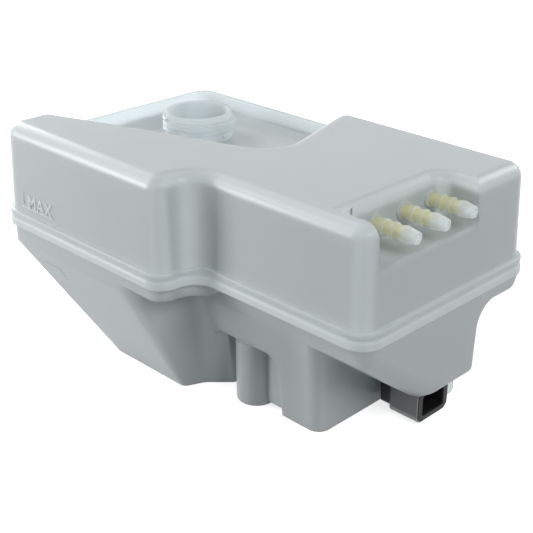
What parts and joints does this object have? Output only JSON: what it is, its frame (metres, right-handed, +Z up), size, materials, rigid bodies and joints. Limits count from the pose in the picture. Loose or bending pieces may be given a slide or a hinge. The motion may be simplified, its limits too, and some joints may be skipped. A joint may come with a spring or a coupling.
{
  "type": "coolant expansion tank",
  "caption": "Welded plastic coolant tank with a threaded filler neck, barbed hose nipples in a bay, a stepped deep underside and a float level sensor.",
  "frame": {"origin": "bottom centre of the tank's bounding box, on the level the foot, column and sump stand on", "axes": "+Z up, +X along the tank from the filler end to the hose nipples, +Y from the stepped front to the back"},
  "size_m": [0.318, 0.198, 0.157],
  "materials": {
    "milky_plastic": "satin, milky translucent",
    "sleeve_brass": "plain",
    "black_plastic": "fine matt",
    "terminal_metal": "tinned",
    "reed_glass": "clear",
    "float_plastic": "foamed, matt",
    "magnet_ferrite": "sintered",
    "clip_plastic": "plain"
  },
  "bodies": {
    "tank": {"upper_shell": "milky_plastic", "lower_shell": "milky_plastic", "nipple_sleeve_1": "sleeve_brass", "nipple_sleeve_2": "sleeve_brass", "nipple_sleeve_3": "sleeve_brass", "sensor_housing": "black_plastic", "sensor_cap": "black_plastic", "sensor_terminal_1": "terminal_metal", "sensor_terminal_2": "terminal_metal", "reed_switch": "reed_glass", "float_clip": "clip_plastic"},
    "float": {"level_float": "float_plastic", "float_magnet": "magnet_ferrite"}
  },
  "joints": [
    {"name": "float_slide", "type": "slide", "parent": "tank", "child": "float", "axis": [0, 0, 1], "range_m": [0, 0.022]}
  ]
}
